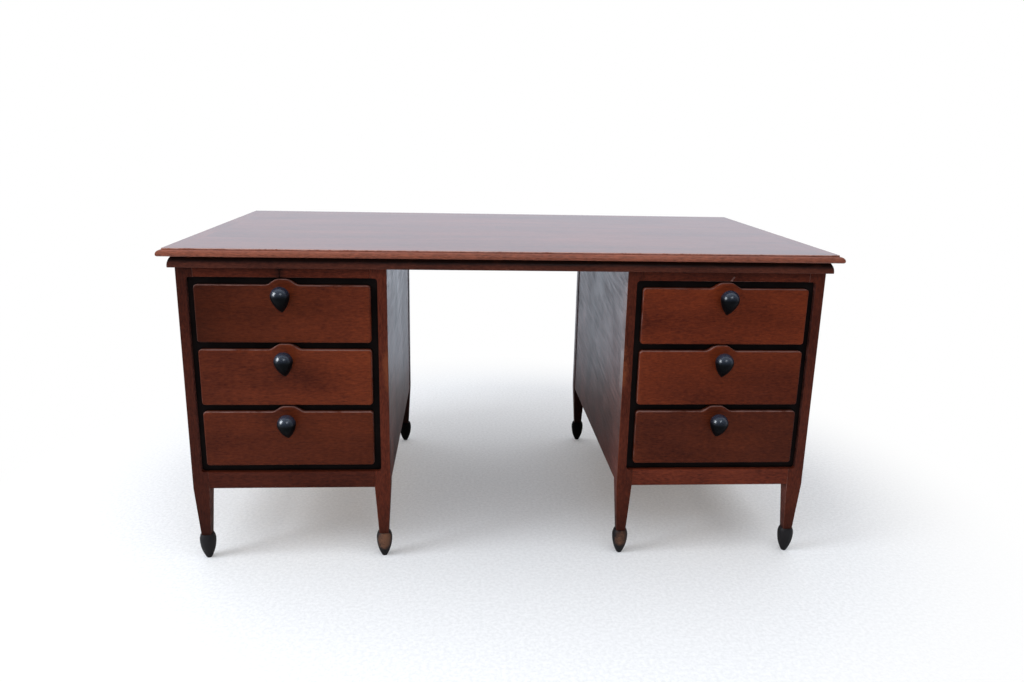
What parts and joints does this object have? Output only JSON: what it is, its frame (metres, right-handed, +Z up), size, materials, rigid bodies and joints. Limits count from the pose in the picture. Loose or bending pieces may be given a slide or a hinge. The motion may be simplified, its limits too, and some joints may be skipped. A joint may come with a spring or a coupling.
{
  "type": "partners desk",
  "caption": "Free-standing partners desk with a moulded top on drawer pedestals, open knee hole, tapered legs on turned feet, humped drawer fronts and drop-shaped knobs.",
  "frame": {"origin": "on the floor, under the middle of the desk", "axes": "+X along the desk to the right of a person at its front, +Y from front to back, +Z up"},
  "size_m": [1.55, 0.919, 0.77],
  "materials": {
    "mahogany": "satin polish",
    "ebonised_wood": "black polish",
    "drawer_oak": "bare wood",
    "carcase_wood": "bare wood",
    "screw_steel": "dull steel"
  },
  "bodies": {
    "carcase": {"top_panel": "mahogany", "top_lipping": "mahogany", "top_frame_moulding": "mahogany", "top_cross_battens": "carcase_wood", "top_fixing_screws": "screw_steel", "pedestal_pegs": "carcase_wood", "pedestal_top_boards": "carcase_wood", "pedestal_bottom_boards": "carcase_wood", "pedestal_partitions": "carcase_wood", "left_legs": "mahogany", "left_feet": "ebonised_wood", "left_outer_side_panel": "mahogany", "left_inner_side_panel": "mahogany", "left_rails": "mahogany", "left_drawer_surrounds": "ebonised_wood", "left_drawer_runners": "carcase_wood", "right_legs": "mahogany", "right_feet": "ebonised_wood", "right_outer_side_panel": "mahogany", "right_inner_side_panel": "mahogany", "right_rails": "mahogany", "right_drawer_surrounds": "ebonised_wood", "right_drawer_runners": "carcase_wood"},
    "left_front_bottom_drawer": {"left_front_bottom_drawer_front": "mahogany", "left_front_bottom_drawer_box": "drawer_oak", "left_front_bottom_drawer_knob": "ebonised_wood"},
    "left_front_middle_drawer": {"left_front_middle_drawer_front": "mahogany", "left_front_middle_drawer_box": "drawer_oak", "left_front_middle_drawer_knob": "ebonised_wood"},
    "left_front_top_drawer": {"left_front_top_drawer_front": "mahogany", "left_front_top_drawer_box": "drawer_oak", "left_front_top_drawer_knob": "ebonised_wood"},
    "left_rear_bottom_drawer": {"left_rear_bottom_drawer_front": "mahogany", "left_rear_bottom_drawer_box": "drawer_oak", "left_rear_bottom_drawer_knob": "ebonised_wood"},
    "left_rear_middle_drawer": {"left_rear_middle_drawer_front": "mahogany", "left_rear_middle_drawer_box": "drawer_oak", "left_rear_middle_drawer_knob": "ebonised_wood"},
    "left_rear_top_drawer": {"left_rear_top_drawer_front": "mahogany", "left_rear_top_drawer_box": "drawer_oak", "left_rear_top_drawer_knob": "ebonised_wood"},
    "right_front_bottom_drawer": {"right_front_bottom_drawer_front": "mahogany", "right_front_bottom_drawer_box": "drawer_oak", "right_front_bottom_drawer_knob": "ebonised_wood"},
    "right_front_middle_drawer": {"right_front_middle_drawer_front": "mahogany", "right_front_middle_drawer_box": "drawer_oak", "right_front_middle_drawer_knob": "ebonised_wood"},
    "right_front_top_drawer": {"right_front_top_drawer_front": "mahogany", "right_front_top_drawer_box": "drawer_oak", "right_front_top_drawer_knob": "ebonised_wood"},
    "right_rear_bottom_drawer": {"right_rear_bottom_drawer_front": "mahogany", "right_rear_bottom_drawer_box": "drawer_oak", "right_rear_bottom_drawer_knob": "ebonised_wood"},
    "right_rear_middle_drawer": {"right_rear_middle_drawer_front": "mahogany", "right_rear_middle_drawer_box": "drawer_oak", "right_rear_middle_drawer_knob": "ebonised_wood"},
    "right_rear_top_drawer": {"right_rear_top_drawer_front": "mahogany", "right_rear_top_drawer_box": "drawer_oak", "right_rear_top_drawer_knob": "ebonised_wood"}
  },
  "joints": [
    {"name": "left_front_bottom_drawer_slide", "type": "slide", "parent": "carcase", "child": "left_front_bottom_drawer", "axis": [0, -1, 0], "range_m": [0, 0.28]},
    {"name": "left_front_middle_drawer_slide", "type": "slide", "parent": "carcase", "child": "left_front_middle_drawer", "axis": [0, -1, 0], "range_m": [0, 0.28]},
    {"name": "left_front_top_drawer_slide", "type": "slide", "parent": "carcase", "child": "left_front_top_drawer", "axis": [0, -1, 0], "range_m": [0, 0.28]},
    {"name": "left_rear_bottom_drawer_slide", "type": "slide", "parent": "carcase", "child": "left_rear_bottom_drawer", "axis": [0, 1, 0], "range_m": [0, 0.28]},
    {"name": "left_rear_middle_drawer_slide", "type": "slide", "parent": "carcase", "child": "left_rear_middle_drawer", "axis": [0, 1, 0], "range_m": [0, 0.28]},
    {"name": "left_rear_top_drawer_slide", "type": "slide", "parent": "carcase", "child": "left_rear_top_drawer", "axis": [0, 1, 0], "range_m": [0, 0.28]},
    {"name": "right_front_bottom_drawer_slide", "type": "slide", "parent": "carcase", "child": "right_front_bottom_drawer", "axis": [0, -1, 0], "range_m": [0, 0.28]},
    {"name": "right_front_middle_drawer_slide", "type": "slide", "parent": "carcase", "child": "right_front_middle_drawer", "axis": [0, -1, 0], "range_m": [0, 0.28]},
    {"name": "right_front_top_drawer_slide", "type": "slide", "parent": "carcase", "child": "right_front_top_drawer", "axis": [0, -1, 0], "range_m": [0, 0.28]},
    {"name": "right_rear_bottom_drawer_slide", "type": "slide", "parent": "carcase", "child": "right_rear_bottom_drawer", "axis": [0, 1, 0], "range_m": [0, 0.28]},
    {"name": "right_rear_middle_drawer_slide", "type": "slide", "parent": "carcase", "child": "right_rear_middle_drawer", "axis": [0, 1, 0], "range_m": [0, 0.28]},
    {"name": "right_rear_top_drawer_slide", "type": "slide", "parent": "carcase", "child": "right_rear_top_drawer", "axis": [0, 1, 0], "range_m": [0, 0.28]}
  ]
}
